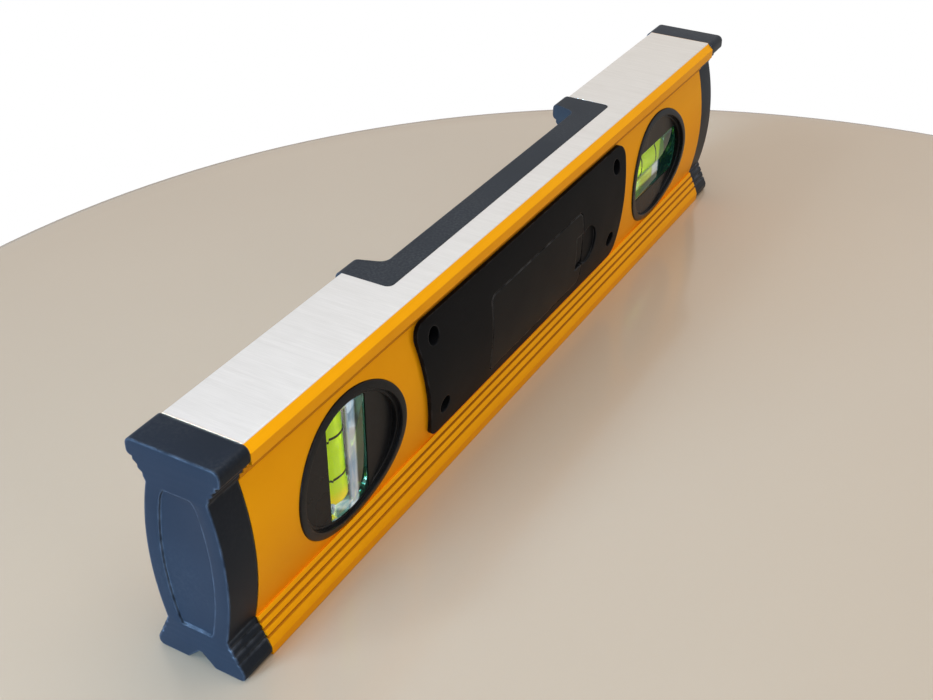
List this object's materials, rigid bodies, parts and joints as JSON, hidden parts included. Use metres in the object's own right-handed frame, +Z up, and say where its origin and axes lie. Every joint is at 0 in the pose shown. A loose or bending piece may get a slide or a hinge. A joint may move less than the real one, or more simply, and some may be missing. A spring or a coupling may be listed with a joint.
{
  "type": "digital spirit level",
  "caption": "Pocket-length digital spirit level: hollow aluminium section with V-grooved base, plumb and level block vials, sloping display in a top notch, push buttons and a rear battery door",
  "frame": {"origin": "centre of the base, on the plane that the level stands on", "axes": "X along the level towards the plumb vial, +Y out of the battery side, -Y out of the display side, Z up through the milled top"},
  "size_m": [0.28, 0.0254, 0.06],
  "materials": {
    "yellow_aluminium": "yellow anodised, fine satin; top face milled bare",
    "cap_plastic": "black, fine moulded grain",
    "housing_plastic": "black, fine moulded grain",
    "cover_plastic": "black, fine moulded grain",
    "door_plastic": "black, fine moulded grain",
    "bezel_plastic": "black, satin",
    "window_clear": "clear, polished",
    "lcd_glass": "grey-green display glass",
    "white_plastic": "white light guide",
    "board_green": "green solder mask",
    "chip_black": "black moulded package",
    "sensor_metal": "metal lid",
    "switch_metal": "metal frame",
    "button_red": "matte",
    "button_grey": "matte",
    "cell_jacket": "satin jacket",
    "contact_steel": "nickel plated",
    "screw_steel": "dark zinc",
    "clear_block": "clear acrylic, polished",
    "green_liquid": "yellow-green vial liquid",
    "ring_black": "black",
    "magnet_nickel": "nickel plated"
  },
  "bodies": {
    "level": {"body_extrusion": "yellow_aluminium", "end_cap_plumb": "cap_plastic", "end_cap_level": "cap_plastic", "display_housing": "housing_plastic", "display_window": "window_clear", "display_glass": "lcd_glass", "backlight_frame": "white_plastic", "circuit_board": "board_green", "controller_chip": "chip_black", "tilt_sensor": "sensor_metal", "buzzer": "chip_black", "tact_switches": "switch_metal", "rear_cover": "cover_plastic", "battery_cell_lower": "cell_jacket", "battery_cell_upper": "cell_jacket", "contact_springs": "contact_steel", "contact_plates": "contact_steel", "cover_screws": "screw_steel", "board_screws": "screw_steel", "plumb_block": "clear_block", "plumb_liquid": "green_liquid", "plumb_rings": "ring_black", "plumb_plug": "clear_block", "level_block": "clear_block", "level_liquid": "green_liquid", "level_rings": "ring_black", "level_plug": "clear_block", "bezel_plumb_rear": "bezel_plastic", "bezel_plumb_front": "bezel_plastic", "bezel_level_rear": "bezel_plastic", "bezel_level_front": "bezel_plastic", "base_magnets": "magnet_nickel"},
    "door": {"battery_door": "door_plastic"},
    "button_power": {"button_power": "button_red"},
    "button_hold": {"button_hold": "button_grey"},
    "button_units": {"button_units": "button_grey"},
    "button_zero": {"button_zero": "button_grey"}
  },
  "joints": [
    {"name": "door_swing", "type": "hinge", "parent": "level", "child": "door", "pos_m": [0.0265, 0.01225, 0.028], "axis": [0, 0, -1], "range_deg": [0, 35]},
    {"name": "power_press", "type": "slide", "parent": "level", "child": "button_power", "axis": [0, 1, 0], "range_m": [0, 0.0006], "stiffness_N_per_m": 600, "springref_m": -0.0008},
    {"name": "hold_press", "type": "slide", "parent": "level", "child": "button_hold", "axis": [0, 1, 0], "range_m": [0, 0.0006], "stiffness_N_per_m": 600, "springref_m": -0.0008},
    {"name": "units_press", "type": "slide", "parent": "level", "child": "button_units", "axis": [0, 1, 0], "range_m": [0, 0.0006], "stiffness_N_per_m": 600, "springref_m": -0.0008},
    {"name": "zero_press", "type": "slide", "parent": "level", "child": "button_zero", "axis": [0, 1, 0], "range_m": [0, 0.0006], "stiffness_N_per_m": 600, "springref_m": -0.0008}
  ]
}
